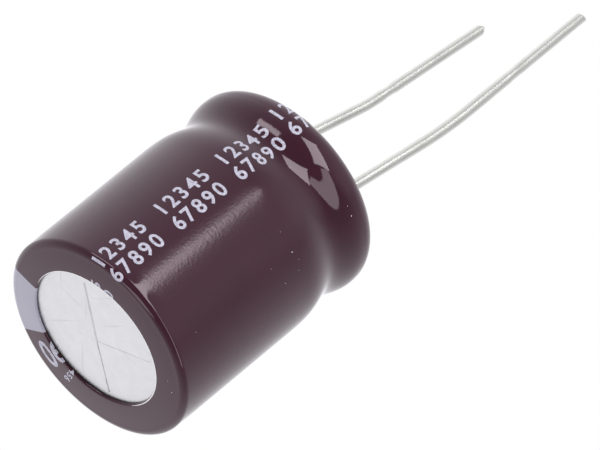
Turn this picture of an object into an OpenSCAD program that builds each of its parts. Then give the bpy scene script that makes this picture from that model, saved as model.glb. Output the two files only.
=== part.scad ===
// Radial electrolytic capacitor, 16 mm can, standing on its closed end.
// Origin: centre of the closed end's standing ring. +Z runs up to the leads, and +X points
// from the cathode lead to the anode lead.

/* [Can] */
// Outer diameter of the can
can_d = 16; // [15.6:0.1:18]
// Height of the finished can, from its base to the top of the curled rim
can_h = 20.35; // [20:0.05:30]
// Thickness of the can's wall
can_wall = 0.35; // [0.25:0.05:0.45]
// Thickness of the can's base
can_base = 0.5; // [0.3:0.05:0.6]
// Outer radius where the wall turns into the base
can_corner_r = 0.4; // [0.35:0.05:1]

/* [Vent] */
// Length of each scored line of the vent
vent_len = 10; // [6:0.5:12]
// Width of a scored line
vent_w = 0.14; // [0.1:0.02:0.3]
// Depth of a scored line
vent_depth = 0.12; // [0.05:0.01:0.25]
// Turn of the cross against the line of the leads
vent_turn_angle = -3.5; // [-45:0.5:45]

/* [Bead and curl] */
// Distance from the top of the curled rim down to the bead
bead_drop = 3.63; // [3.5:0.01:4]
// Depth that the can is rolled in at the bead
bead_depth = 1.4; // [1.2:0.05:1.5]
// Half width of the bead on the side of the closed end
bead_low_w = 2.6; // [2.4:0.05:2.8]
// Half width of the bead on the side of the rim
bead_high_w = 1.75; // [1.6:0.05:1.85]
// Radius at the bottom of the bead
bead_r = 1.2; // [0.8:0.1:1.3]
// How far the rim stands out past the can's wall
rim_swell = 0.04; // [0:0.01:0.2]
// Radius of the curled rim
curl_r = 1.2; // [1:0.05:1.3]

/* [Sleeve] */
// Thickness of the shrunk sleeve
sleeve_t = 0.17; // [0.1:0.01:0.3]
// Depth that the sleeve sinks in over the bead, which it spans without touching
sleeve_dip = 0.59; // [0.3:0.01:0.8]
// Diameter of the opening that the sleeve leaves at the closed end
sleeve_opening_d = 11.04; // [8:0.02:12]
// Angle at which the sleeve ends on the curled rim
sleeve_lip_angle = 106; // [90:1:112]

/* [Bung] */
// Height of the rubber bung
bung_h = 7; // [6.95:0.05:7.2]
// Depth of the bung's face below the top of the curl
bung_recess = 0.5; // [0.45:0.05:0.8]
// Clearance between pieces that sit in each other
seat_gap = 0.03; // [0.01:0.01:0.05]

/* [Winding] */
// Clearance between the roll's closing tape and the can's wall
roll_gap = 0.44; // [0.1:0.02:1]
// Space between the roll's upper end and the bung
head_gap = 1.12; // [0.8:0.02:3]
// Diameter of the hole that the winding pin leaves
roll_hole_d = 1.8; // [1:0.1:3]
// Distance between the paper edges that show on the roll's ends
turn_pitch = 0.9; // [0.6:0.1:1.5]
// Depth of the foil edges below the paper edges
turn_depth = 0.25; // [0.1:0.05:0.5]
// Width of the closing tape
tape_h = 7; // [4:0.5:9]
// Thickness of the closing tape
tape_t = 0.08; // [0.05:0.01:0.15]

/* [Terminals] */
// Distance between the two leads where they leave the bung
lead_pitch = 7.5; // [6:0.5:8]
// Diameter of a lead
lead_d = 0.8; // [0.6:0.05:1]
// Diameter of the aluminium boss in the bung
boss_d = 2.1; // [1.6:0.1:2.6]
// Depth of the boss's top below the bung's face
boss_sink = 1.15; // [1:0.05:2.4]
// Width of the flat paddle
paddle_w = 2.4; // [1.8:0.1:3]
// Thickness of the flat paddle
paddle_t = 0.3; // [0.2:0.05:0.4]
// Depth that the paddle reaches into the roll
paddle_reach = 8.4; // [5:0.1:8.8]

/* [Lead bends] */
// Direction in which both leads lean, from the line of the leads
lean_turn_angle = 41.5; // [-180:0.5:180]
// Radius of the bend where a lead leaves the bung
exit_bend_r = 4; // [2:0.5:6]
// Angle at which the cathode lead leaves the bung
cathode_lean_angle = 10.8; // [1:0.1:12]
// Straight length of the cathode lead up to its second bend
cathode_run = 9.6; // [6:0.1:14]
// Angle of the cathode lead's second bend
cathode_back_angle = 6; // [1:0.1:10]
// Radius of the cathode lead's second bend
cathode_bend_r = 20; // [8:1:30]
// Straight length of the cathode lead's end
cathode_end = 10.2; // [6:0.1:14]
// Angle at which the anode lead leaves the bung
anode_lean_angle = 6.6; // [1:0.1:12]
// Straight length of the anode lead up to its second bend
anode_run = 9; // [6:0.1:14]
// Angle of the anode lead's second bend
anode_back_angle = 6.6; // [1:0.1:10]
// Radius of the anode lead's second bend
anode_bend_r = 45; // [8:1:60]
// Straight length of the anode lead's end
anode_end = 12; // [6:0.1:18]
// Slope of the two faces that the cutters left on the cathode lead's end
cathode_cut_angle = 40; // [5:1:50]
// Slope of the one face that the cutters left on the anode lead's end
anode_cut_angle = 16; // [5:1:50]

/* [Hidden] */
$fn = 96;

arc_step = 9;         // angle between two points of a rounded corner, in degrees
curl_steps = 14;      // steps round the curled rim
dip_steps = 10;       // steps down each side of the sleeve's dip
overshoot = 1;        // how far a cutting solid runs past what it cuts
low_shoulder_r = 3.5; // shoulder of the bead towards the closed end
high_shoulder_r = 1.5; // shoulder of the bead towards the rim
bung_corner_r = 0.3;  // rounding of the bung's lower edge
weld_d = 1.1;         // diameter of the weld bead at a lead's foot
weld_h = 0.5;         // height of the weld bead
collar_h = 0.02;      // length of a collar between two stretches of a wire
collar_swell = 0.005; // how far such a collar stands out
dimple_d = 1.8;       // diameter of the dimple round each lead in the bung's face
dimple_depth = 0.35;  // depth of that dimple
exit_rise = 0.55;     // straight length of a lead above the bung's face
boss_stub = 0.35;     // length of the round boss below the bung
paddle_stub = 0.2;    // length of the flat paddle above the roll

can_r = can_d / 2;
rim_r = can_r + rim_swell;
can_z = sleeve_t + seat_gap;
can_top = can_z + can_h;
curl_in_r = curl_r - can_wall;
curl_c = [rim_r - curl_r, can_top - curl_r];
bead_z = can_top - bead_drop;
film_low_w = bead_low_w + tangent(low_shoulder_r, bead_depth, bead_low_w);
film_high_w = bead_high_w + tangent(high_shoulder_r, bead_depth + rim_swell, bead_high_w);
floor_z = can_z + can_base;
bung_top = can_top - bung_recess;
bung_bottom = bung_top - bung_h;
bung_curl_r = curl_in_r - seat_gap;
curl_end = 180 - asin((bung_top + seat_gap - curl_c.y) / curl_in_r);
roll_r = can_r - can_wall - roll_gap - tape_t - seat_gap;
roll_z = floor_z + seat_gap;
roll_top = bung_bottom - head_gap;
roll_h = roll_top - roll_z;
lead_x = lead_pitch / 2;
boss_top = bung_top - boss_sink;
boss_bottom = bung_bottom - boss_stub;
paddle_top = roll_top + paddle_stub;
paddle_bottom = roll_top - paddle_reach;

// Points of an arc about c, from one angle to another.
function arc(c, r, a0, a1, n) =
    [for (i = [0:n]) c + r * [cos(a0 + (a1 - a0) * i / n), sin(a0 + (a1 - a0) * i / n)]];

function unit(v) = v / norm(v);
function turn_sign(a, b) = sign(a.x * b.y - a.y * b.x);

// Corner p, between the points before and after it, rounded to radius r.
function round_corner(before, p, after, r) =
    let (u = unit(before - p), v = unit(after - p), half = acos(u * v) / 2)
    r == 0 ? [p] :
    let (c = p + unit(u + v) * r / sin(half),
         start = p + u * r / tan(half) - c,
         a0 = atan2(start.y, start.x),
         turn = (180 - 2 * half) * turn_sign(p - before, after - p))
    arc(c, r, a0, a0 + turn, max(1, round(abs(turn) / arc_step)));

// A line of [radius from the axis, height, corner radius] with its corners rounded.
// The last point only gives the last corner its direction.
function rounded(pts) = [for (i = [0:len(pts) - 2])
    each let (p = [pts[i][0], pts[i][1]])
        i == 0 ? [p] :
        round_corner([pts[i - 1][0], pts[i - 1][1]], p,
                     [pts[i + 1][0], pts[i + 1][1]], pts[i][2])];

// Length that a rounded shoulder of radius r takes up on the straight wall beside a slope
// that drops by drop over a width w.
function tangent(r, drop, w) = r * tan(atan(drop / w) / 2);

function reversed(pts) = [for (i = [len(pts) - 1:-1:0]) pts[i]];

// The line up the wall through the bead to where the curl starts, at a depth below the
// can's outer face. It starts at start_r and height z0, with the given corner radius.
function wall_line(start_r, z0, corner, depth) = rounded([
    [start_r, z0, 0],
    [can_r - depth, z0, corner],
    [can_r - depth, bead_z - bead_low_w, low_shoulder_r - depth],
    [can_r - depth - bead_depth, bead_z, bead_r + depth],
    [rim_r - depth, bead_z + bead_high_w, high_shoulder_r - depth],
    [rim_r - depth, curl_c.y, 0]]);

// The same line for the sleeve. It leaves the wall where the bead begins, sinks in along one
// half of a cosine wave and comes back to the rim along another.
function film_line(start_r, z0, corner, depth) = concat(
    rounded([[start_r, z0, 0], [can_r - depth, z0, corner], [can_r - depth, bead_z, 0]]),
    [for (i = [0:dip_steps]) let (t = i / dip_steps)
        [can_r - depth - sleeve_dip * (1 - cos(180 * t)) / 2, bead_z - film_low_w * (1 - t)]],
    [for (i = [1:dip_steps]) let (t = i / dip_steps)
        [rim_r - depth - (sleeve_dip + rim_swell) * (1 + cos(180 * t)) / 2,
         bead_z + film_high_w * t]]);

module revolve(outline) {
    rotate_extrude() polygon(outline);
}

module at_lead(side) {
    translate([side * lead_x, 0, 0]) children();
}

// Heat-shrunk tube: it follows the wall, dips over the bead, wraps the curled rim and is
// folded over the base, where it leaves a round opening.
module sleeve() {
    opening_r = sleeve_opening_d / 2;
    skin = seat_gap + sleeve_t;
    outer = film_line(opening_r, 0, can_corner_r + skin, -skin);
    inner = film_line(opening_r, sleeve_t, can_corner_r + seat_gap, -seat_gap);
    color("#4a3a42")
        revolve(concat(
            outer,
            arc(curl_c, curl_r + skin, 0, sleeve_lip_angle, curl_steps),
            arc(curl_c, curl_r + seat_gap, sleeve_lip_angle, 0, curl_steps),
            reversed(inner)));
}

// Deep-drawn cup, rolled in at the bead and curled over onto the bung, with the vent's
// cross scored in its base.
module can() {
    outer = wall_line(0, can_z, can_corner_r, 0);
    inner = wall_line(0, floor_z, can_corner_r - can_wall, can_wall);
    color("#dcdce2")
        difference() {
            revolve(concat(
                outer,
                arc(curl_c, curl_r, 0, curl_end, curl_steps),
                arc(curl_c, curl_in_r, curl_end, 0, curl_steps),
                reversed(inner)));
            for (turn = [0, 90])
                rotate([0, 0, vent_turn_angle + turn])
                    translate([-vent_len / 2, -vent_w / 2, can_z - overshoot])
                        cube([vent_len, vent_w, overshoot + vent_depth]);
        }
}

// Rubber seal, squeezed to the form of the bead and of the curl's inside. Each terminal
// has a wide bore for its boss, a pocket for its weld and a narrow hole for its wire.
module bung() {
    top_angle = asin((bung_top - curl_c.y) / bung_curl_r);
    wall = wall_line(0, bung_bottom, bung_corner_r, can_wall + seat_gap);
    color("#2b2b2e")
        difference() {
            revolve(concat(
                wall,
                arc(curl_c, bung_curl_r, 0, top_angle, curl_steps),
                [[0, bung_top]]));
            for (side = [-1, 1])
                at_lead(side) terminal_bore();
        }
}

module terminal_bore() {
    translate([0, 0, bung_bottom - overshoot])
        cylinder(h = boss_top + seat_gap - bung_bottom + overshoot, d = boss_d + 2 * seat_gap);
    translate([0, 0, boss_top])
        cylinder(h = weld_h + seat_gap, d = weld_d + 2 * seat_gap);
    translate([0, 0, boss_top])
        cylinder(h = boss_sink + overshoot, d = lead_d + 2 * seat_gap);
    translate([0, 0, bung_top - dimple_depth])
        cylinder(h = dimple_depth + overshoot, d1 = lead_d + 2 * seat_gap,
                 d2 = dimple_d + (dimple_d - lead_d) * overshoot / dimple_depth);
}

// Foils and paper wound together. The paper edges stand proud of the foils on both ends,
// and each paddle lies in a slot between two turns.
module wound_element() {
    color("#cfc6ae")
        difference() {
            translate([0, 0, roll_z]) cylinder(h = roll_h, r = roll_r);
            translate([0, 0, roll_z - overshoot])
                cylinder(h = roll_h + 2 * overshoot, d = roll_hole_d);
            for (r = [roll_hole_d / 2 + turn_pitch / 2 : turn_pitch : roll_r - turn_pitch / 2])
                for (z = [roll_z - overshoot, roll_top - turn_depth])
                    translate([0, 0, z])
                        turn_groove(r, overshoot + turn_depth);
            for (side = [-1, 1])
                at_lead(side)
                    translate([-paddle_t / 2 - seat_gap, -paddle_w / 2 - seat_gap,
                               paddle_bottom - seat_gap])
                        cube([paddle_t + 2 * seat_gap, paddle_w + 2 * seat_gap,
                              paddle_reach + seat_gap + overshoot]);
        }
}

module turn_groove(r, h) {
    difference() {
        cylinder(h = h, r = r + turn_pitch / 4);
        translate([0, 0, -overshoot]) cylinder(h = h + 2 * overshoot, r = r - turn_pitch / 4);
    }
}

module closing_tape() {
    color("#e8e0c4")
        translate([0, 0, roll_z + (roll_h - tape_h) / 2])
            difference() {
                cylinder(h = tape_h, r = roll_r + seat_gap + tape_t);
                translate([0, 0, -overshoot])
                    cylinder(h = tape_h + 2 * overshoot, r = roll_r + seat_gap);
            }
}

// Aluminium terminal: a round boss in the bung, pressed flat below it into the paddle
// that is wound into the roll.
module tab() {
    translate([0, 0, boss_bottom]) cylinder(h = boss_top - boss_bottom, d = boss_d);
    intersection() {
        neck(boss_d, paddle_t, paddle_w);
        rotate([0, 0, 90]) neck(boss_d, paddle_w, boss_d);
    }
    translate([-paddle_t / 2, -paddle_w / 2, paddle_bottom])
        cube([paddle_t, paddle_w, paddle_top - paddle_bottom]);
}

// A wedge between the paddle and the boss, wide across X at each end and as deep as both.
module neck(top_w, bottom_w, depth) {
    reach = max(depth, boss_d, paddle_w);
    rotate([90, 0, 0])
        translate([0, 0, -reach / 2])
            linear_extrude(reach)
                polygon([[-bottom_w / 2, paddle_top], [bottom_w / 2, paddle_top],
                         [top_w / 2 * cos(45), boss_bottom],
                         [-top_w / 2 * cos(45), boss_bottom]]);
}

module anode_tab() {
    color("#c9c9cd") at_lead(1) tab();
}

module cathode_tab() {
    color("#c9c9cd") at_lead(-1) tab();
}

// A thin collar between two stretches of a wire, too small to show.
module collar() {
    cylinder(h = collar_h, d = lead_d + 2 * collar_swell);
    translate([0, 0, collar_h]) children();
}

module straight(length) {
    cylinder(h = length, d = lead_d);
    translate([0, 0, length]) collar() children();
}

// A bend of the wire by angle in the plane of X and Z, towards +X, or -X if it is negative.
module bend(angle, r) {
    side = sign(angle);
    translate([side * r, 0, 0]) {
        rotate([90, 0, 0])
            rotate([0, 0, side > 0 ? 180 - angle : 0])
                rotate_extrude(angle = abs(angle))
                    translate([r, 0]) circle(d = lead_d);
        rotate([0, angle, 0])
            translate([-side * r, 0, 0]) collar() children();
    }
}

// The wire's last stretch, pinched off by cutters: its faces slope down on both sides of a
// ridge, which lies off the wire's axis by ridge_x.
module cut_end(length, slope, ridge_x) {
    reach = 2 * lead_d;
    intersection() {
        cylinder(h = length + overshoot, d = lead_d);
        rotate([90, 0, 90])
            translate([0, 0, -reach / 2])
                linear_extrude(reach)
                    polygon([[-reach, -overshoot], [reach, -overshoot],
                             [reach, length - (reach - ridge_x) * tan(slope)],
                             [ridge_x, length],
                             [-reach, length - (reach + ridge_x) * tan(slope)]]);
    }
}

// One tinned wire: its foot is welded to the boss, and it leaves the bung at an angle
// and turns back by a second, wider bend.
module lead(lean, run, back, back_r, end, cut, ridge_x) {
    translate([0, 0, boss_top]) {
        cylinder(h = weld_h, d = weld_d);
        translate([0, 0, weld_h])
            rotate([0, 0, lean_turn_angle])
                straight(boss_sink + exit_rise - weld_h)
                    bend(lean, exit_bend_r)
                        straight(run)
                            bend(-back, back_r)
                                cut_end(end, cut, ridge_x);
    }
}

module anode_lead() {
    color("#b9bab8")
        at_lead(1) lead(anode_lean_angle, anode_run, anode_back_angle, anode_bend_r, anode_end,
                        anode_cut_angle, lead_d);
}

module cathode_lead() {
    color("#b9bab8")
        at_lead(-1) lead(cathode_lean_angle, cathode_run, cathode_back_angle, cathode_bend_r,
                         cathode_end, cathode_cut_angle, 0);
}

sleeve();
can();
bung();
wound_element();
closing_tape();
anode_tab();
cathode_tab();
anode_lead();
cathode_lead();
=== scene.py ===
import math

import bmesh
import bpy
from mathutils import Matrix, Vector, noise


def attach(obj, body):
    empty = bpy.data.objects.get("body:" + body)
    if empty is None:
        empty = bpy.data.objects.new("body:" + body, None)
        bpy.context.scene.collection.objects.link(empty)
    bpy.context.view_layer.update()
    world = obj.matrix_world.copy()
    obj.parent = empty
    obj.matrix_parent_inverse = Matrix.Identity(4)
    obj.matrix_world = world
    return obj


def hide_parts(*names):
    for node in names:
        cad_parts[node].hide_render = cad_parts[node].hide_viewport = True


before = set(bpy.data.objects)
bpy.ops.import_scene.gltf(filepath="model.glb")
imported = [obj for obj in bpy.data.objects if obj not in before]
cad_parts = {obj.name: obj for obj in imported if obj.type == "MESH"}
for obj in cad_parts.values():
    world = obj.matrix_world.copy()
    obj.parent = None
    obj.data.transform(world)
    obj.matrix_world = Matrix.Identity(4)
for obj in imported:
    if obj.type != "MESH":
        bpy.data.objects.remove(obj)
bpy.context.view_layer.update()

# The wound element. Two aluminium foils and two strips of capacitor paper are rolled up together
# on a thin pin, soaked in electrolyte and pushed into the can. The paper is wider than the foils,
# so its edges stand proud on both ends of the roll.
MM = 0.001
TURN_PITCH = 0.9 * MM
PAPER_FIBRE = 0.15 * MM
# How many waves a wave texture of scale 1 has in a unit.
WAVE_COUNT = 3.1


def linear(hex_colour):
    """An sRGB hex colour as the linear RGBA that a socket takes."""
    shares = [int(hex_colour[i:i + 2], 16) / 255 for i in (1, 3, 5)]
    return [c / 12.92 if c <= 0.04045 else ((c + 0.055) / 1.055) ** 2.4 for c in shares] + [1]


def new_material(name):
    """A material, its node tree, its shader and the object's own coordinates."""
    material = bpy.data.materials.new(name)
    material.use_nodes = True
    tree = material.node_tree
    place = tree.nodes.new("ShaderNodeTexCoord").outputs["Object"]
    return material, tree, tree.nodes["Principled BSDF"], place


def connect(tree, node, inputs):
    """Gives a node its inputs. Each is a value, or another node's socket to link."""
    for key, value in inputs.items():
        if isinstance(value, bpy.types.NodeSocket):
            tree.links.new(value, node.inputs[key])
        else:
            node.inputs[key].default_value = value


def add(tree, kind, inputs=None, **settings):
    """Adds a node with its settings and its inputs."""
    node = tree.nodes.new(kind)
    for name, value in settings.items():
        setattr(node, name, value)
    connect(tree, node, inputs or {})
    return node


def dress(node_name, material):
    """Gives a carried-over piece its finish."""
    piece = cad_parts[node_name]
    piece.data.materials.clear()
    piece.data.materials.append(material)


# Capacitor paper over etched foil: matt and fibrous, in narrow rings on the roll's ends. The real
# turns are too fine to show and are drawn several times as coarse.
wound_paper, tree, shader, place = new_material("capacitor_paper_and_foil")
rings = add(tree, "ShaderNodeTexWave",
            {"Vector": place, "Scale": 1 / (TURN_PITCH * WAVE_COUNT), "Distortion": 0.4},
            wave_type="RINGS", rings_direction="Z")
fibres = add(tree, "ShaderNodeTexNoise",
             {"Vector": place, "Scale": 1 / PAPER_FIBRE, "Detail": 4})
turns = add(tree, "ShaderNodeMixRGB", {"Fac": rings.outputs["Fac"],
                                       "Color1": linear("#b7b2a6"), "Color2": linear("#d3cab2")})
mottled = add(tree, "ShaderNodeMixRGB", {"Fac": fibres.outputs["Fac"],
                                         "Color1": turns.outputs["Color"],
                                         "Color2": linear("#c6bb9d")})
fuzz = add(tree, "ShaderNodeBump", {"Height": fibres.outputs["Fac"], "Distance": 0.02 * MM})
connect(tree, shader, {"Base Color": mottled.outputs["Color"], "Roughness": 0.75,
                       "Normal": fuzz.outputs["Normal"]})
dress("wound_element", wound_paper)

# The closing tape. A strip of polypropylene tape holds down the roll's outer end, so that the
# element doesn't unwind before it is in the can.
TAPE_CREPE = 0.6 * MM

# Polypropylene tape: straw-coloured, a little glossy, with the faint crepe of its backing.
tape_film, tree, shader, place = new_material("polypropylene_tape")
crepe = add(tree, "ShaderNodeTexWave",
            {"Vector": place, "Scale": 1 / (TAPE_CREPE * WAVE_COUNT), "Distortion": 3,
             "Detail": 2},
            bands_direction="Z")
tint = add(tree, "ShaderNodeMixRGB", {"Fac": crepe.outputs["Fac"],
                                      "Color1": linear("#d9cf9f"), "Color2": linear("#e6dfba")})
ridges = add(tree, "ShaderNodeBump", {"Height": crepe.outputs["Fac"], "Distance": 0.01 * MM})
connect(tree, shader, {"Base Color": tint.outputs["Color"], "Roughness": 0.35, "IOR": 1.49,
                       "Normal": ridges.outputs["Normal"]})
dress("closing_tape", tape_film)

# The two terminals. Each is a round aluminium boss that sits in the bung, pressed flat at its
# lower end into a paddle, which is cold-welded to its foil and wound into the roll.
PRESS_GRAIN = 0.08 * MM

# Pressed aluminium: dull silver, with fine lengthwise marks left by the tool.
pressed_aluminium, tree, shader, place = new_material("pressed_aluminium")
drawn_out = add(tree, "ShaderNodeMapping", {"Vector": place, "Scale": (1, 1, 0.08)})
marks = add(tree, "ShaderNodeTexNoise",
            {"Vector": drawn_out.outputs["Vector"], "Scale": 1 / PRESS_GRAIN, "Detail": 3})
tone = add(tree, "ShaderNodeMixRGB", {"Fac": marks.outputs["Fac"],
                                      "Color1": linear("#b9b9bd"), "Color2": linear("#dadade")})
grooves = add(tree, "ShaderNodeBump", {"Height": marks.outputs["Fac"], "Distance": 0.008 * MM})
connect(tree, shader, {"Base Color": tone.outputs["Color"], "Metallic": 1.0,
                       "Roughness": 0.42, "Normal": grooves.outputs["Normal"]})
dress("anode_tab", pressed_aluminium)
dress("cathode_tab", pressed_aluminium)

# The two leads. Tinned copper-clad steel wires, welded end-on to the terminals. They leave the
# bung side by side, both leaning one way, and bend back a little. The longer one is the anode.
# The feeder's jaws have flattened and nicked them, and the cutters have left their ends oblique.
LEAD_X = 3.75 * MM
LEAD_R = 0.4 * MM
WELD_R = 0.55 * MM
WELD_TOP = 0.5 * MM
FOOT_Z = 18.9 * MM
EXIT_Z = 20.2 * MM
LEAN_AZIMUTH = math.radians(41.5)
EXIT_BEND_R = 4 * MM
# How much of what is squeezed away goes into the width, and how the wire's thickness drifts.
FLAT_SPREAD = 0.45
DRIFT_LENGTH = 2.5 * MM
DRIFT_DEPTH = 0.006 * MM
RING_SIDES = 40
RING_STEP = 0.12 * MM


def finished(build, name):
    """A mesh in the making as a mesh of its own, shaded smooth."""
    mesh = bpy.data.meshes.new(name)
    build.to_mesh(mesh)
    build.free()
    for face in mesh.polygons:
        face.use_smooth = True
    return mesh


def cut(build, where, direction, clear_outer=False):
    """Cuts a mesh in the making along a plane, and may clear away what lies past it."""
    geometry = build.verts[:] + build.edges[:] + build.faces[:]
    bmesh.ops.bisect_plane(build, geom=geometry, plane_co=where, plane_no=direction,
                           clear_outer=clear_outer)


def new_piece(name, mesh, material, slot, *nodes):
    """An object that rides on the part and may stand for some of its CAD nodes."""
    piece = bpy.data.objects.new(name, mesh)
    bpy.context.scene.collection.objects.link(piece)
    mesh.materials.append(material)
    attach(piece, "root")
    if nodes:
        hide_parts(*nodes)


def lead_path(lean, run, back, back_r, end):
    """Points up the middle of a lead, each with its tilt, in the plane in which it leans. It
    leans out by lean degrees, runs straight, turns back in a bend of radius back_r and ends
    straight."""
    points = []
    x, z, tilt = 0.0, FOOT_Z, 0.0
    for length, turn, r in ((EXIT_Z - FOOT_Z, 0, 0), (0, lean, EXIT_BEND_R), (run, 0, 0),
                            (0, -back, back_r), (end, 0, 0)):
        reach = length or abs(math.radians(turn)) * r
        steps = max(1, round(reach / RING_STEP))
        for i in range(steps):
            points.append((x, z, tilt))
            tilt += math.radians(turn) / steps / 2
            x += reach / steps * math.sin(tilt)
            z += reach / steps * math.cos(tilt)
            tilt += math.radians(turn) / steps / 2
    points.append((x, z, tilt))
    return points


def squeeze(height, marks):
    """The share of its thickness that the jaws have squeezed away at a height. It is below 0
    where they have pressed the wire the other way."""
    return sum(depth * math.exp(-abs((height - middle) / half) ** 4)
               for middle, half, depth in marks)


def lead_mesh(name, side, path, marks, cuts):
    """A wire along the path. marks are (height, half length, share squeezed away), and cuts are
    (slope in degrees, offset of the ridge) of the cutters' faces at its tip. A squeezed wire
    spreads to both sides, and one that has been drawn is never quite even."""
    across = Vector((math.cos(LEAN_AZIMUTH), math.sin(LEAN_AZIMUTH), 0))
    sideways = Vector((-across.y, across.x, 0))
    build = bmesh.new()
    rings = []
    for x, z, tilt in path:
        centre = Vector((side * LEAD_X, 0, 0)) + across * x + Vector((0, 0, z))
        outward = across * math.cos(tilt) - Vector((0, 0, math.sin(tilt)))
        weld = max(0, 1 - ((z - FOOT_Z) / WELD_TOP) ** 4)
        r = LEAD_R + (WELD_R - LEAD_R) * weld
        flat = squeeze(z, marks)
        drift = noise.noise(centre / DRIFT_LENGTH) * DRIFT_DEPTH
        ring = []
        for i in range(RING_SIDES):
            a = 2 * math.pi * i / RING_SIDES
            wide = (r + drift) * (1 + FLAT_SPREAD * flat) * math.cos(a)
            thin = (r + drift) * (1 - flat) * math.sin(a)
            ring.append(build.verts.new(centre + sideways * wide + outward * thin))
        rings.append(ring)
    for low, high in zip(rings, rings[1:]):
        for i in range(RING_SIDES):
            j = (i + 1) % RING_SIDES
            build.faces.new((low[i], low[j], high[j], high[i]))
    build.faces.new(reversed(rings[0]))
    build.faces.new(rings[-1])
    x, z, tilt = path[-1]
    tip = Vector((side * LEAD_X, 0, 0)) + across * x + Vector((0, 0, z))
    along = across * math.sin(tilt) + Vector((0, 0, math.cos(tilt)))
    outward = across * math.cos(tilt) - Vector((0, 0, math.sin(tilt)))
    for slope, offset in cuts:
        facing = along * math.cos(math.radians(slope)) + outward * math.sin(math.radians(slope))
        cut(build, tip + outward * offset, facing, clear_outer=True)
        rim = [edge for edge in build.edges if edge.is_boundary]
        bmesh.ops.contextual_create(build, geom=rim)
    mesh = finished(build, name)
    for face in mesh.polygons[-len(cuts):]:
        face.use_smooth = False
    return mesh


# Hot-dipped tin on wire: a soft grey-white metal that has run along the wire as it froze, so its
# tone and its gloss drift in long, faint streaks.
WIRE_GRAIN = 0.3 * MM
tinned_wire, tree, shader, place = new_material("hot_dipped_tin")
drawn_out = add(tree, "ShaderNodeMapping", {"Vector": place, "Scale": (1, 1, 0.2)})
runs = add(tree, "ShaderNodeTexNoise",
           {"Vector": drawn_out.outputs["Vector"], "Scale": 1 / WIRE_GRAIN, "Detail": 2})
tone = add(tree, "ShaderNodeMixRGB", {"Fac": runs.outputs["Fac"],
                                      "Color1": linear("#cacbc5"), "Color2": linear("#e0e0db")})
dullness = add(tree, "ShaderNodeMapRange",
               {"Value": runs.outputs["Fac"], "To Min": 0.3, "To Max": 0.42})
waves = add(tree, "ShaderNodeBump",
            {"Height": runs.outputs["Fac"], "Distance": 0.001 * MM})
connect(tree, shader, {"Base Color": tone.outputs["Color"], "Metallic": 1.0,
                       "Roughness": dullness.outputs["Result"],
                       "Normal": waves.outputs["Normal"]})

anode_path = lead_path(6.6, 9 * MM, 6.6, 45 * MM, 12.4 * MM)
anode_marks = [(33 * MM, 5 * MM, -0.05), (39.5 * MM, 0.6 * MM, 0.06)]
anode_mesh = lead_mesh("anode_lead_wire", 1, anode_path, anode_marks, [(-16, LEAD_R)])
new_piece("anode_lead_wire", anode_mesh, tinned_wire, "wire", "anode_lead")

cathode_path = lead_path(10.8, 9.6 * MM, 6, 20 * MM, 10.7 * MM)
cathode_marks = [(33.4 * MM, 0.5 * MM, 0.10)]
cathode_mesh = lead_mesh("cathode_lead_wire", -1, cathode_path, cathode_marks,
                         [(40, 0), (-40, 0)])
new_piece("cathode_lead_wire", cathode_mesh, tinned_wire, "wire", "cathode_lead")

# The bung. A moulded disc of EPDM rubber with a hole for each terminal. The rolled bead and the
# curled rim squeeze it against the terminals and the wall, which seals the can.
MOULD_GRIT = 0.12 * MM
BLOOM = 2 * MM

# Moulded rubber: nearly black and matt, with the fine grit of a blasted mould and a faint bloom.
moulded_rubber, tree, shader, place = new_material("moulded_epdm_rubber")
grit = add(tree, "ShaderNodeTexNoise", {"Vector": place, "Scale": 1 / MOULD_GRIT, "Detail": 3})
bloom = add(tree, "ShaderNodeTexNoise", {"Vector": place, "Scale": 1 / BLOOM, "Detail": 2})
tone = add(tree, "ShaderNodeMixRGB", {"Fac": bloom.outputs["Fac"],
                                      "Color1": linear("#242427"), "Color2": linear("#333336")})
rough_skin = add(tree, "ShaderNodeBump", {"Height": grit.outputs["Fac"], "Distance": 0.02 * MM})
connect(tree, shader, {"Base Color": tone.outputs["Color"], "Roughness": 0.6, "IOR": 1.48,
                       "Normal": rough_skin.outputs["Normal"]})
dress("bung", moulded_rubber)

# The can. An aluminium slug is drawn into a cup, and a cross is scored in its base, where it
# splits open if the pressure rises. Its wall is rolled in over the bung and its edge curled over.
FILM = 0.17 * MM
CLEARANCE = 0.03 * MM
BASE_GAP = 0.08 * MM
CAN_WALL = 0.35 * MM
CAN_BASE = 0.5 * MM
BODY_R = 8.2 * MM
RIM_R = 8.24 * MM
CORNER_R = 0.6 * MM
# The dip at the bead: the height and radius of its lowest line, and how far it runs down and up.
BEAD_Z = 16.67 * MM
BEAD_R = 7.61 * MM
BEAD_LOW = 3.9 * MM
BEAD_HIGH = 2.5 * MM
LATE_DIP = 1.7
# The curled rim: the middle and radius of the curl, and where the film and the can end on it.
CURL_Z = 19.35 * MM
CURL_R = 1.4 * MM
LIP_ANGLE = 106
CAN_LIP_ANGLE = 158
ARC_STEPS = 24
DIP_STEPS = 30
ROUND_STEPS = 288
MERGE = 0.0001 * MM


def arc(x, z, r, start, end):
    """Points of a circle's arc in a section, with the angles in degrees."""
    angles = [math.radians(start + (end - start) * i / ARC_STEPS) for i in range(ARC_STEPS + 1)]
    return [Vector((x + r * math.cos(a), z + r * math.sin(a))) for a in angles]


def half_wave(low, high, late=1):
    """Points that swing from one (radius, height) to a higher one along half a cosine wave. It
    is steepest in the middle, or further up if late is over 1."""
    shares = [i / DIP_STEPS for i in range(DIP_STEPS + 1)]
    return [Vector((low[0] + (high[0] - low[0]) * (1 - math.cos(math.pi * t ** late)) / 2,
                    low[1] + (high[1] - low[1]) * t)) for t in shares]


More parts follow.
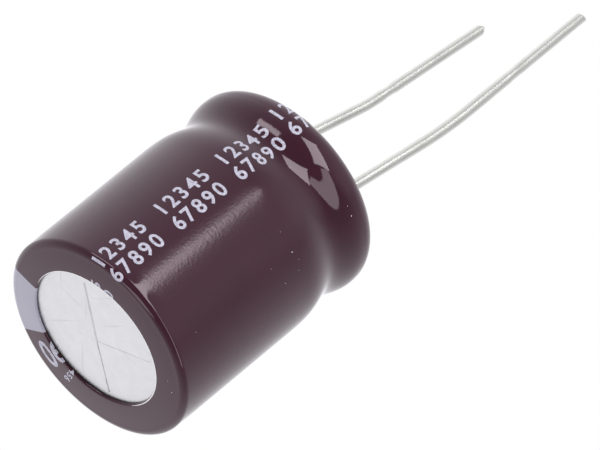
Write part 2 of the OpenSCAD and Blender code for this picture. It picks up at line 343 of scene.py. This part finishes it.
def wall_line(start_r, floor, inside, lip):
    """A section from a radius on the base out and up to the curled lip, at a depth inside the
    body's outer face and at a height of its floor above the ground."""
    corner = max(CORNER_R - inside, 0.05 * MM)
    return ([Vector((start_r, floor))]
            + arc(BODY_R - inside - corner, floor + corner, corner, -90, 0)
            + half_wave((BODY_R - inside, BEAD_Z - BEAD_LOW), (BEAD_R - inside, BEAD_Z), LATE_DIP)
            + half_wave((BEAD_R - inside, BEAD_Z), (RIM_R - inside, BEAD_Z + BEAD_HIGH))[1:]
            + arc(RIM_R - CURL_R, CURL_Z, CURL_R - inside, 0, lip))


def turned_mesh(name, section, shift=None):
    """A closed section turned round the axis. shift may move each point, given its place and
    its number in the section."""
    build = bmesh.new()
    columns = []
    for j in range(ROUND_STEPS):
        a = 2 * math.pi * j / ROUND_STEPS
        column = []
        for k, point in enumerate(section):
            place_3d = Vector((point.x * math.cos(a), point.x * math.sin(a), point.y))
            column.append(build.verts.new(shift(place_3d, k) if shift else place_3d))
        columns.append(column)
    for left, right in zip(columns, columns[1:] + columns[:1]):
        for k in range(len(section)):
            m = (k + 1) % len(section)
            build.faces.new((left[k], right[k], right[m], left[m]))
    bmesh.ops.remove_doubles(build, verts=build.verts, dist=MERGE)
    bmesh.ops.recalc_face_normals(build, faces=build.faces)
    return finished(build, name)


base_z = FILM + BASE_GAP
can_outer = wall_line(0, base_z, FILM + CLEARANCE, CAN_LIP_ANGLE)
can_inner = wall_line(0, base_z + CAN_BASE, FILM + CLEARANCE + CAN_WALL, CAN_LIP_ANGLE)
can_mesh = turned_mesh("drawn_can", can_outer + can_inner[::-1])

# Bright drawn aluminium: pale silver, rubbed by handling into faint smudges and fine scratches
# that run several ways, drawn wider than real ones so that they show. The score lines are fine V
# grooves that a punch has pressed, unevenly deep, and their thin, broken dark lines are painted
# shade: the grooves are darkened in the colour as well as pressed into the surface.
SCRATCH_SPACING = 0.2 * MM
SCRATCH_STRETCH = 40
SCRATCH_TURNS = (9, 65, 120)
SCRATCH_LOW = 0.68
SMUDGE = 1.1 * MM
WANDER = 0.12 * MM
WANDER_LENGTH = 0.8 * MM
# Where the arms of the cross meet, and each arm's bearing, length, depth and half width.
SCORE_MIDDLE = (-0.09 * MM, 0.32 * MM)
SCORES = ((-92.7, 5.3 * MM, 0.7, 0.16 * MM), (85.5, 4.6 * MM, 1.0, 0.1 * MM),
          (180.4, 4.3 * MM, 0.1, 0.08 * MM), (-6, 5.2 * MM, 0.55, 0.07 * MM))
drawn_aluminium, tree, shader, place = new_material("bright_drawn_aluminium")


def strongest(tree, masks):
    """The highest of several masks at each place."""
    top = masks[0]
    for mask in masks[1:]:
        top = add(tree, "ShaderNodeMath", {0: top, 1: mask}, operation="MAXIMUM").outputs["Value"]
    return top


def scratch(tree, place, turn):
    """A mask of fine lines that run one way and come and go."""
    swung = add(tree, "ShaderNodeMapping",
                {"Vector": place, "Rotation": (0, 0, math.radians(turn)),
                 "Scale": (1, SCRATCH_STRETCH, 1)}, vector_type="TEXTURE")
    streaks = add(tree, "ShaderNodeTexNoise",
                  {"Vector": swung.outputs["Vector"], "Scale": 1 / SCRATCH_SPACING, "Detail": 2})
    return add(tree, "ShaderNodeMapRange",
               {"Value": streaks.outputs["Fac"], "From Min": SCRATCH_LOW,
                "From Max": SCRATCH_LOW + 0.1}).outputs["Result"]


def score(tree, place, bearing, length, depth, half):
    """A mask that falls from depth on one arm of the cross to 0 beside it."""
    own = add(tree, "ShaderNodeMapping",
              {"Vector": place, "Location": (SCORE_MIDDLE[0], SCORE_MIDDLE[1], 0),
               "Rotation": (0, 0, math.radians(bearing))}, vector_type="TEXTURE")
    own_parts = add(tree, "ShaderNodeSeparateXYZ", {"Vector": own.outputs["Vector"]})
    off = add(tree, "ShaderNodeMath", {0: own_parts.outputs["Y"]}, operation="ABSOLUTE")
    across = add(tree, "ShaderNodeMapRange", {"Value": off.outputs["Value"], "From Max": half,
                                              "To Min": depth, "To Max": 0})
    within = add(tree, "ShaderNodeMath",
                 {0: own_parts.outputs["X"], 1: length / 2, 2: length / 2}, operation="COMPARE")
    return add(tree, "ShaderNodeMath", {0: across.outputs["Result"], 1: within.outputs["Value"]},
               operation="MULTIPLY").outputs["Value"]


wander = add(tree, "ShaderNodeTexNoise",
             {"Vector": place, "Scale": 1 / WANDER_LENGTH, "Detail": 2})
wandering = add(tree, "ShaderNodeVectorMath",
                {0: wander.outputs["Color"], 1: (WANDER, WANDER, 0), 2: place},
                operation="MULTIPLY_ADD")
uneven = add(tree, "ShaderNodeMapRange", {"Value": wander.outputs["Fac"], "From Min": 0.3,
                                          "From Max": 0.6, "To Min": 0.45})
cross = strongest(tree, [score(tree, wandering.outputs["Vector"], *arm) for arm in SCORES])
score_relief_and_shade = add(tree, "ShaderNodeMath", {0: cross, 1: uneven.outputs["Result"]},
             operation="MULTIPLY")
fine = strongest(tree, [scratch(tree, place, turn) for turn in SCRATCH_TURNS])
smudges = add(tree, "ShaderNodeTexNoise", {"Vector": place, "Scale": 1 / SMUDGE, "Detail": 5,
                                           "Roughness": 0.65})
bare = add(tree, "ShaderNodeMixRGB", {"Fac": smudges.outputs["Fac"], "Color1": linear("#c9cace"),
                                      "Color2": linear("#e8e8e7")})
scratched = add(tree, "ShaderNodeMixRGB", {"Fac": fine, "Color1": bare.outputs["Color"],
                                           "Color2": linear("#cacccf")})
# Painted shade: the colour darkens along the score lines, standing in for shade in the grooves.
tone = add(tree, "ShaderNodeMixRGB", {"Fac": score_relief_and_shade.outputs["Value"],
                                      "Color1": scratched.outputs["Color"],
                                      "Color2": linear("#8e9096")})
dullness = add(tree, "ShaderNodeMapRange",
               {"Value": smudges.outputs["Fac"], "To Min": 0.3, "To Max": 0.45})
relief = add(tree, "ShaderNodeMath",
             {0: score_relief_and_shade.outputs["Value"], 1: -1, 2: smudges.outputs["Fac"]},
             operation="MULTIPLY_ADD")
pressed = add(tree, "ShaderNodeBump", {"Height": relief.outputs["Value"],
                                       "Distance": 0.02 * MM})
connect(tree, shader, {"Base Color": tone.outputs["Color"], "Metallic": 1.0,
                       "Roughness": dullness.outputs["Result"],
                       "Normal": pressed.outputs["Normal"]})
new_piece("drawn_can", can_mesh, drawn_aluminium, "can", "can")

# The sleeve. A tube of printed heat-shrink film, slipped over the finished can and shrunk on in hot
# air: it dips over the bead, wraps the curled rim and folds over the base. It is the insulation
# and carries the print, here a light stripe on the cathode side and rows of plain digits.
# The opening: its even radius, how far it has drifted and grown oval, and which way.
OPENING_R = 5.52 * MM
OPENING_DRIFT = 0.2 * MM
DRIFT_BEARING = math.radians(254)
OPENING_OVAL = 0.1 * MM
OVAL_BEARING = math.radians(19.5)
FOLD_RISE = 0.12 * MM
EDGE_R = 0.16 * MM
SECTION_STEP = 0.25 * MM
# The waviness of the shrunk film: a slow and a quick one, each by its length and height.
SLOW_LENGTH = 5 * MM
SLOW_DEPTH = 0.012 * MM
QUICK_LENGTH = 1.7 * MM
QUICK_DEPTH = 0.001 * MM
QUICK_START = Vector((7, 3, 1))


def spaced(line, step):
    """The same line with points no further apart than step."""
    points = [line[0]]
    for start, end in zip(line, line[1:]):
        count = math.ceil((end - start).length / step)
        points += [start.lerp(end, i / count) for i in range(1, count + 1)]
    return points


def ripple(point):
    """How far the shrunk film stands off the can at a place: a low, slow waviness."""
    slow = noise.noise(point / SLOW_LENGTH) * SLOW_DEPTH
    quick = noise.noise(point / QUICK_LENGTH + QUICK_START) * QUICK_DEPTH
    return slow + quick


def shrunk_back(r, bearing):
    """Where a point of the round fold over the base really lies. The film has drawn back
    unevenly, so the opening is neither quite round nor quite in the middle."""
    drift = OPENING_DRIFT * math.cos(bearing - DRIFT_BEARING)
    oval = OPENING_OVAL * math.cos(2 * (bearing - OVAL_BEARING))
    share = (BODY_R - CORNER_R - r) / (BODY_R - CORNER_R - OPENING_R)
    return r + (drift + oval) * max(0, share)


fold_edge = arc(OPENING_R + EDGE_R, EDGE_R, EDGE_R, 180, 270)
outer_wall = wall_line(OPENING_R + EDGE_R, 0, 0, LIP_ANGLE)
outer_line = fold_edge + spaced(outer_wall, SECTION_STEP)[1:]
inner_line = wall_line(OPENING_R, FILM, FILM, LIP_ANGLE)


def as_shrunk(place_3d, k=0):
    """Where a point of the even tube lies after shrinking: its fold drawn back unevenly and
    rising a little towards the corner, and its outer face a little wavy."""
    r = math.hypot(place_3d.x, place_3d.y)
    if place_3d.z < CORNER_R:
        bearing = math.atan2(place_3d.y, place_3d.x)
        sway = shrunk_back(r, bearing) / r
        out = min(1, (r - OPENING_R) / (BODY_R - CORNER_R - OPENING_R))
        rise = FOLD_RISE * max(0, out) ** 1.5 * (1 - place_3d.z / CORNER_R)
        place_3d = Vector((place_3d.x * sway, place_3d.y * sway, place_3d.z + rise))
    if k < len(outer_line):
        near_floor = max(0, min(1, place_3d.z / CORNER_R))
        place_3d *= 1 + ripple(place_3d) * near_floor / place_3d.length
    return place_3d


sleeve_mesh = turned_mesh("shrunk_sleeve", outer_line + inner_line[::-1], as_shrunk)

# Printed PET film: dark brown with a purple cast and a slight orange peel. It is glossiest where
# it has shrunk tight round the corner, the bead and the rim, and duller on the straight wall.
# The stripe is flat lavender ink that takes the film's gloss.
PEEL = 0.2 * MM
CLOUD = 3 * MM
TIGHT_GLOSS = 0.06
WALL_GLOSS = 0.17
STRIPE_MIDDLE = math.radians(182.4)
STRIPE_HALF = math.radians(21)
MINUS_PITCH = 6.6 * MM
MINUS_LENGTH = 2.6 * MM
MINUS_HALF = math.radians(4)
printed_film, tree, shader, place = new_material("printed_pet_film")
film_parts = add(tree, "ShaderNodeSeparateXYZ", {"Vector": place})
turned = add(tree, "ShaderNodeVectorRotate", {"Vector": place, "Angle": -STRIPE_MIDDLE},
             rotation_type="Z_AXIS")
turned_parts = add(tree, "ShaderNodeSeparateXYZ", {"Vector": turned.outputs["Vector"]})
bearing = add(tree, "ShaderNodeMath", {0: turned_parts.outputs["Y"],
                                       1: turned_parts.outputs["X"]}, operation="ARCTAN2")
off_middle = add(tree, "ShaderNodeMath", {0: bearing.outputs["Value"]}, operation="ABSOLUTE")
in_stripe = add(tree, "ShaderNodeMath", {0: off_middle.outputs["Value"], 1: STRIPE_HALF},
                operation="LESS_THAN")
in_bar = add(tree, "ShaderNodeMath", {0: off_middle.outputs["Value"], 1: MINUS_HALF},
             operation="LESS_THAN")
step_up = add(tree, "ShaderNodeMath", {0: film_parts.outputs["Z"], 1: MINUS_PITCH},
              operation="MODULO")
in_length = add(tree, "ShaderNodeMath", {0: step_up.outputs["Value"], 1: MINUS_PITCH / 2,
                                         2: MINUS_LENGTH / 2}, operation="COMPARE")
minus = add(tree, "ShaderNodeMath", {0: in_bar.outputs["Value"],
                                     1: in_length.outputs["Value"]}, operation="MULTIPLY")
ink_here = add(tree, "ShaderNodeMath", {0: in_stripe.outputs["Value"],
                                        1: minus.outputs["Value"]}, operation="SUBTRACT",
               use_clamp=True)
cloud = add(tree, "ShaderNodeTexNoise", {"Vector": place, "Scale": 1 / CLOUD, "Detail": 3})
film_tone = add(tree, "ShaderNodeMixRGB", {"Fac": cloud.outputs["Fac"],
                                           "Color1": linear("#311822"),
                                           "Color2": linear("#3a1d29")})
ink_tone = add(tree, "ShaderNodeMixRGB", {"Fac": cloud.outputs["Fac"],
                                          "Color1": linear("#9e9dad"),
                                          "Color2": linear("#a9a8b7")})
skin = add(tree, "ShaderNodeMixRGB", {"Fac": ink_here.outputs["Value"],
                                      "Color1": film_tone.outputs["Color"],
                                      "Color2": ink_tone.outputs["Color"]})
peel = add(tree, "ShaderNodeTexNoise", {"Vector": place, "Scale": 1 / PEEL, "Detail": 2})
onto_wall = add(tree, "ShaderNodeMapRange",
                {"Value": film_parts.outputs["Z"], "From Min": CORNER_R, "From Max": 3 * CORNER_R,
                 "To Min": TIGHT_GLOSS, "To Max": WALL_GLOSS}, interpolation_type="SMOOTHSTEP")
off_wall = add(tree, "ShaderNodeMapRange",
               {"Value": film_parts.outputs["Z"], "From Min": BEAD_Z - BEAD_LOW - CORNER_R,
                "From Max": BEAD_Z - BEAD_LOW / 2, "To Min": WALL_GLOSS, "To Max": TIGHT_GLOSS},
               interpolation_type="SMOOTHSTEP")
gloss = add(tree, "ShaderNodeMath", {0: onto_wall.outputs["Result"],
                                     1: off_wall.outputs["Result"]}, operation="MINIMUM")
coarser = add(tree, "ShaderNodeMapRange", {"Value": gloss.outputs["Value"],
                                           "From Min": TIGHT_GLOSS, "From Max": WALL_GLOSS,
                                           "To Min": 0.15})
orange_peel = add(tree, "ShaderNodeBump", {"Strength": coarser.outputs["Result"],
                                           "Height": peel.outputs["Fac"],
                                           "Distance": 0.007 * MM})
connect(tree, shader, {"Base Color": skin.outputs["Color"], "Roughness": gloss.outputs["Value"],
                       "IOR": 1.5, "Specular Tint": linear("#fff0f8"),
                       "Normal": orange_peel.outputs["Normal"]})
new_piece("shrunk_sleeve", sleeve_mesh, printed_film, "sleeve", "sleeve")

# The printed digits. White ink, printed on the flat tube before it was shrunk, so the rows run up
# from the base fold to the lip and are cut off at both. The ink lies a hair proud of the film.
# Two small rows are repeated along the tube. A large one and a tiny one start at the fold.
# How proud the ink is, how far it stops short of the film's ends, and how bold the strokes are.
INK_LIFT = 0.012 * MM
INK_END = 0.02 * MM
STROKE_SWELL = 0.022
DIGIT_H = 1.24 * MM
DIGIT_STRETCH = 0.98
DIGIT_PITCH = 1.08 * MM
STARTS = (-4.6 * MM, 2.07 * MM, 8.7 * MM, 15.15 * MM, 21.12 * MM)
LARGE_H = 2.86 * MM
LARGE_STRETCH = 0.55
LARGE_PITCH = 1.12 * MM
TINY_H = 0.75 * MM
TINY_STRETCH = 0.9
TINY_PITCH = 0.52 * MM
SQUARE = 0.12 * MM

lengths = [0.0]
for start, end in zip(outer_line, outer_line[1:]):
    lengths.append(lengths[-1] + (end - start).length)


def on_film(along, bearing, lift):
    """The point at a length along the sleeve's section from the opening, and at a bearing."""
    k = 1
    while k < len(lengths) - 1 and lengths[k] < along:
        k += 1
    share = (along - lengths[k - 1]) / (lengths[k] - lengths[k - 1])
    point = outer_line[k - 1].lerp(outer_line[k], share)
    ahead = (outer_line[k] - outer_line[k - 1]).normalized()
    point = point + Vector((ahead.y, -ahead.x)) * lift
    return as_shrunk(Vector((point.x * math.cos(bearing), point.x * math.sin(bearing), point.y)))


def flat_digit(character, height, stretch):
    """A digit as a flat mesh, with its middle at the origin and in its printed size."""
    curve = bpy.data.curves.new("digit", "FONT")
    curve.body = character
    curve.offset = STROKE_SWELL
    maker = bpy.data.objects.new("digit", curve)
    mesh = bpy.data.meshes.new_from_object(maker)
    bpy.data.objects.remove(maker)
    xs = [vertex.co.x for vertex in mesh.vertices]
    ys = [vertex.co.y for vertex in mesh.vertices]
    scale = height / (max(ys) - min(ys))
    for vertex in mesh.vertices:
        vertex.co.x = (vertex.co.x - (min(xs) + max(xs)) / 2) * scale * stretch
        vertex.co.y = (vertex.co.y - (min(ys) + max(ys)) / 2) * scale
    return mesh


def print_string(ink, text, bearing, start, height, stretch, pitch):
    """Adds a string to the ink. It starts at a length along the film's section and is cut off
    at the film's ends. Its digits are cut into small squares, so that they bend with the film."""
    for i, character in enumerate(text):
        middle = start + pitch * (i + 0.5)
        if middle + pitch / 2 < 0 or middle - pitch / 2 > lengths[-1]:
            continue
        glyph = bmesh.new()
        glyph.from_mesh(flat_digit(character, height, stretch))
        squares = math.ceil(height / SQUARE / 2)
        for k in range(-squares, squares):
            cut(glyph, Vector((k * SQUARE, 0, 0)), Vector((1, 0, 0)))
            cut(glyph, Vector((0, k * SQUARE, 0)), Vector((0, 1, 0)))
        cut(glyph, Vector((INK_END - middle, 0, 0)), Vector((-1, 0, 0)), clear_outer=True)
        cut(glyph, Vector((lengths[-1] - middle - INK_END, 0, 0)), Vector((1, 0, 0)),
            clear_outer=True)
        for vertex in glyph.verts:
            along = middle + vertex.co.x
            vertex.co = on_film(along, math.radians(bearing) - vertex.co.y / BODY_R, INK_LIFT)
        flat = bpy.data.meshes.new("glyph")
        glyph.to_mesh(flat)
        glyph.free()
        ink.from_mesh(flat)


digits = bmesh.new()
for start in STARTS:
    print_string(digits, "12345", -79.55, start, DIGIT_H, DIGIT_STRETCH, DIGIT_PITCH)
    print_string(digits, "67890", -67.7, start, DIGIT_H, DIGIT_STRETCH, DIGIT_PITCH)
print_string(digits, "90", 144.5, -0.53 * MM, LARGE_H, LARGE_STRETCH, LARGE_PITCH)
print_string(digits, "456", 125, -0.1 * MM, TINY_H, TINY_STRETCH, TINY_PITCH)

# Screen-printing ink: lavender white, a little duller than the film, thin enough for pinholes.
PINHOLE = 0.12 * MM
white_ink, tree, shader, place = new_material("screen_printing_ink")
speckle = add(tree, "ShaderNodeTexNoise", {"Vector": place, "Scale": 1 / PINHOLE, "Detail": 3})
thin = add(tree, "ShaderNodeMapRange", {"Value": speckle.outputs["Fac"],
                                        "From Min": 0.35, "From Max": 0.6})
tone = add(tree, "ShaderNodeMixRGB", {"Fac": thin.outputs["Result"],
                                      "Color1": linear("#9c99aa"), "Color2": linear("#c0bdce")})
connect(tree, shader, {"Base Color": tone.outputs["Color"], "Roughness": 0.35, "IOR": 1.5})
new_piece("printed_digits", finished(digits, "printed_digits"), white_ink, "sleeve")

# The dust. A few specks of paper fibre and lint from the packing have settled on the film, most
# of them on one side. Each is given by its length along the film, its bearing and its size.
SPECKS = ((15.2, -19.8, 0.13), (13.7, -8.2, 0.1), (21.3, -14, 0.11), (21.3, -19.8, 0.08),
          (15.2, -9, 0.07), (15.1, -32, 0.06), (5.0, -19.5, 0.07), (15.5, -14, 0.06),
          (13.0, -20, 0.06), (1.65, 12, 0.11), (1.3, 4, 0.08))
SPECK_FORM = (1, 0.6, 0.35)
SPECK_TURN = 40
FLUFF = 0.03 * MM

# Lint: pale, matt fluff, mottled with grey.
lint, tree, shader, place = new_material("paper_lint")
fluff = add(tree, "ShaderNodeTexNoise", {"Vector": place, "Scale": 1 / FLUFF})
tone = add(tree, "ShaderNodeMixRGB", {"Fac": fluff.outputs["Fac"],
                                      "Color1": linear("#a8a29e"), "Color2": linear("#efecea")})
connect(tree, shader, {"Base Color": tone.outputs["Color"], "Roughness": 0.9})

dust = bmesh.new()
for along, bearing, across in SPECKS:
    middle = on_film(along * MM, math.radians(bearing), across * MM / 8)
    out = on_film(along * MM, math.radians(bearing), across * MM) - middle
    own_turn = Matrix.Rotation(math.radians(SPECK_TURN * along), 3, "Z")
    lie = out.to_track_quat("Z", "Y").to_matrix() @ own_turn
    shape = lie @ Matrix.Diagonal(SPECK_FORM) @ lie.transposed()
    place_speck = Matrix.Translation(middle) @ shape.to_4x4()
    bmesh.ops.create_icosphere(dust, subdivisions=2, radius=across * MM / 2, matrix=place_speck)
new_piece("dust_specks", finished(dust, "dust_specks"), lint, "sleeve")

# The edge glint. A fine pale line along one side of the opening's trimmed edge is a painted
# highlight: a strip of white film that stands in for light glinting on the cut edge.
# The bearings of its two ends in degrees, its width, and where it starts on the rounded edge.
GLINT_START = -150
GLINT_END = 62
GLINT_WIDE = 0.12 * MM
GLINT_FOOT = EDGE_R * math.pi / 2 - 0.09 * MM
THIN_END = 0.05
GLINT_MOTTLE = 0.4 * MM

# Painted highlight: a milky white, glossy film, mottled a little, that stands in for the glint.
painted_glint_film, tree, shader, place = new_material("painted_glint_white_film")
glint_mottle = add(tree, "ShaderNodeTexNoise", {"Vector": place, "Scale": 1 / GLINT_MOTTLE})
tone = add(tree, "ShaderNodeMixRGB", {"Fac": glint_mottle.outputs["Fac"],
                                      "Color1": linear("#e2dfe3"), "Color2": linear("#fbfafb")})
connect(tree, shader, {"Base Color": tone.outputs["Color"], "Roughness": 0.3, "IOR": 1.5})

# Painted highlight: a thin strip of white film along the cut edge, tapering at both ends.
edge_glint = bmesh.new()
rows = []
for i in range(GLINT_START, GLINT_END + 1):
    taper = math.sin(math.pi * (i - GLINT_START) / (GLINT_END - GLINT_START)) ** 0.5
    wide = max(THIN_END, taper) * GLINT_WIDE
    rows.append([edge_glint.verts.new(on_film(GLINT_FOOT + wide * k / 2, math.radians(i), INK_LIFT))
                 for k in range(3)])
for low, high in zip(rows, rows[1:]):
    for k in range(2):
        edge_glint.faces.new((low[k], low[k + 1], high[k + 1], high[k]))
new_piece("painted_edge_glint", finished(edge_glint, "painted_edge_glint"), painted_glint_film, "sleeve")

# The camera. It stands at the photograph's angle, well away behind a long lens: in the part's
# own frame it looks up at the closed end from below, rolled so that the leads point up right.
CAMERA_AZIMUTH = 41.5
CAMERA_ELEVATION = -31.53
CAMERA_ROLL = 50.5
CAMERA_DISTANCE = 709.3 * MM
AIM = Vector((2.63, 1.29, 18.54)) * MM
LENS = 600
SENSOR = 36

azimuth = math.radians(CAMERA_AZIMUTH)
elevation = math.radians(CAMERA_ELEVATION)
back = Vector((math.sin(azimuth) * math.cos(elevation), -math.cos(azimuth) * math.cos(elevation),
               math.sin(elevation)))
level_right = Vector((math.cos(azimuth), math.sin(azimuth), 0))
level_up = back.cross(level_right)
roll = math.radians(CAMERA_ROLL)
right = level_right * math.cos(roll) + level_up * math.sin(roll)
up = back.cross(right)
lens = bpy.data.cameras.new("camera")
lens.lens = LENS
lens.sensor_width = SENSOR
camera = bpy.data.objects.new("camera", lens)
bpy.context.scene.collection.objects.link(camera)
camera.matrix_world = (Matrix.Translation(AIM + back * CAMERA_DISTANCE)
                       @ Matrix((right, up, back)).transposed().to_4x4())
bpy.context.scene.camera = camera

# The floor. A pale sheet that the part stands on. The photograph's view looks up through it, so
# only its upper face shows, and it takes the part's shadow but hides no light from below.
FLOOR_SIZE = 1200 * MM
FLOOR_DROP = 0.02 * MM
floor_mesh = bpy.data.meshes.new("floor")
half_floor = FLOOR_SIZE / 2
floor_mesh.from_pydata([(-half_floor, -half_floor, 0), (half_floor, -half_floor, 0),
                        (half_floor, half_floor, 0), (-half_floor, half_floor, 0)], [],
                       [(0, 1, 2, 3)])
floor = bpy.data.objects.new("floor", floor_mesh)
floor.location.z = -FLOOR_DROP
bpy.context.scene.collection.objects.link(floor)
pale_sheet, tree, shader, place = new_material("pale_sheet")
connect(tree, shader, {"Base Color": linear("#f2f2f2"), "Roughness": 0.9})
clear = add(tree, "ShaderNodeBsdfTransparent")
face_side = add(tree, "ShaderNodeNewGeometry")
one_sided = add(tree, "ShaderNodeMixShader", {0: face_side.outputs["Backfacing"],
                                              1: shader.outputs["BSDF"], 2: clear.outputs["BSDF"]})
tree.links.new(one_sided.outputs["Shader"], tree.nodes["Material Output"].inputs["Surface"])
floor_mesh.materials.append(pale_sheet)
floor.visible_diffuse = False
floor.visible_glossy = False
floor.visible_transmission = False
floor.visible_shadow = False

# The light. Softboxes round the camera, and a wide sheet over the part that lights the floor. Each
# is placed by its angles to the right of and above the direction from the part to the camera.
LIGHT_DISTANCE = 214 * MM


def softbox(name, to_right, above, wide, high, turn, radiance):
    """A rectangular lamp, by the angles of its middle, its width and height and how far it is
    turned about its own axis, all in degrees."""
    h = math.radians(to_right)
    v = math.radians(above)
    towards = (right * math.sin(h) * math.cos(v) + up * math.sin(v)
               + back * math.cos(h) * math.cos(v))
    level_way = right * math.cos(h) - back * math.sin(h)
    side_way = Matrix.Rotation(math.radians(turn), 3, towards) @ level_way
    lamp = bpy.data.lights.new(name, "AREA")
    lamp.shape = "RECTANGLE"
    lamp.size = 2 * LIGHT_DISTANCE * math.tan(math.radians(wide / 2))
    lamp.size_y = 2 * LIGHT_DISTANCE * math.tan(math.radians(high / 2))
    lamp.energy = radiance * math.pi * lamp.size * lamp.size_y
    box = bpy.data.objects.new(name, lamp)
    bpy.context.scene.collection.objects.link(box)
    box.matrix_world = (Matrix.Translation(AIM + towards * LIGHT_DISTANCE)
                        @ Matrix((side_way, towards.cross(side_way), towards))
                        .transposed().to_4x4())
    box.visible_camera = False
    return box


softbox("softbox_upper_right", 32.5, 30.2, 23.3, 35, -7.7, 6.0)
softbox("softbox_lower_right", 37.4, -21.6, 14.4, 65.7, 11.3, 2.8)
softbox("softbox_left", -35.5, 44.7, 25.7, 11, -23.6, 5.8)
softbox("softbox_below", -55, -31, 26, 16, 0, 2.2)
overhead = softbox("softbox_overhead", 128.5, 32.8, 90, 90, 0, 0.7)
overhead.visible_glossy = False

# The surroundings. A white tent, open towards the camera, where the room is dark. It is what the
# film and the metal mirror. The backdrop is plain white, and soft light comes from all round.
# How bright the tent, its roof and its dim side are, a hazy patch, the soft light and the room.
TENT = 1.3
ROOF = 0.2
DIM_SIDE = 0.84
HAZE = 0.42
HAZE_WAY = (right * 0.83 + up * 0.36 + back * 0.42).normalized()
LIT = 0.45
LIT_BELOW = 0.9
ROOM = 0.09
world = bpy.data.worlds.new("white_tent")
bpy.context.scene.world = world
world.use_nodes = True
tree = world.node_tree
tree.nodes.clear()
ray = add(tree, "ShaderNodeLightPath")
direction = add(tree, "ShaderNodeTexCoord").outputs["Generated"]
facing = add(tree, "ShaderNodeVectorMath", {0: direction, 1: back}, operation="DOT_PRODUCT")
tent_level = add(tree, "ShaderNodeMapRange",
                 {"Value": facing.outputs["Value"], "From Min": -0.75, "From Max": 0.95,
                  "To Min": TENT, "To Max": ROOM}, interpolation_type="SMOOTHSTEP")
towards_haze = add(tree, "ShaderNodeVectorMath", {0: direction, 1: HAZE_WAY},
                   operation="DOT_PRODUCT")
haze = add(tree, "ShaderNodeMapRange", {"Value": towards_haze.outputs["Value"], "From Min": 0.8,
                                        "To Max": HAZE}, interpolation_type="SMOOTHSTEP")
towards_right = add(tree, "ShaderNodeVectorMath", {0: direction, 1: right},
                    operation="DOT_PRODUCT")
dim_side = add(tree, "ShaderNodeMapRange",
               {"Value": towards_right.outputs["Value"], "From Min": -0.2, "From Max": 0.5,
                "To Min": 1, "To Max": DIM_SIDE}, interpolation_type="SMOOTHSTEP")
towards_up = add(tree, "ShaderNodeVectorMath", {0: direction, 1: up}, operation="DOT_PRODUCT")
roof = add(tree, "ShaderNodeMapRange",
           {"Value": towards_up.outputs["Value"], "From Min": 0.5, "From Max": 0.95,
            "To Max": ROOF}, interpolation_type="SMOOTHSTEP")
glow = add(tree, "ShaderNodeMath", {0: haze.outputs["Result"], 1: roof.outputs["Result"]},
           operation="ADD")
whole_tent = add(tree, "ShaderNodeMath", {0: tent_level.outputs["Result"],
                                          1: dim_side.outputs["Result"],
                                          2: glow.outputs["Value"]}, operation="MULTIPLY_ADD")
tent_colour = add(tree, "ShaderNodeMixRGB", {"Fac": 1.0, "Color1": linear("#f6f5f9"),
                                             "Color2": whole_tent.outputs["Value"]},
                  blend_type="MULTIPLY")
tent = add(tree, "ShaderNodeBackground", {"Color": tent_colour.outputs["Color"],
                                          "Strength": 1.0})
heights = add(tree, "ShaderNodeSeparateXYZ", {"Vector": direction})
lit_level = add(tree, "ShaderNodeMapRange",
                {"Value": heights.outputs["Z"], "From Min": -0.8, "From Max": 0,
                 "To Min": LIT_BELOW, "To Max": LIT})
lit = add(tree, "ShaderNodeBackground", {"Color": linear("#ffffff"),
                                         "Strength": lit_level.outputs["Result"]})
white = add(tree, "ShaderNodeBackground", {"Color": linear("#ffffff"), "Strength": 1.0})
mirrored = add(tree, "ShaderNodeMixShader", {0: ray.outputs["Is Glossy Ray"],
                                             1: lit.outputs["Background"],
                                             2: tent.outputs["Background"]})
through = add(tree, "ShaderNodeMixShader", {0: ray.outputs["Is Transmission Ray"],
                                            1: mirrored.outputs["Shader"],
                                            2: white.outputs["Background"]})
seen = add(tree, "ShaderNodeMixShader", {0: ray.outputs["Is Camera Ray"],
                                         1: through.outputs["Shader"],
                                         2: white.outputs["Background"]})
add(tree, "ShaderNodeOutputWorld", {"Surface": seen.outputs["Shader"]})
bpy.context.scene.view_settings.view_transform = "Standard"
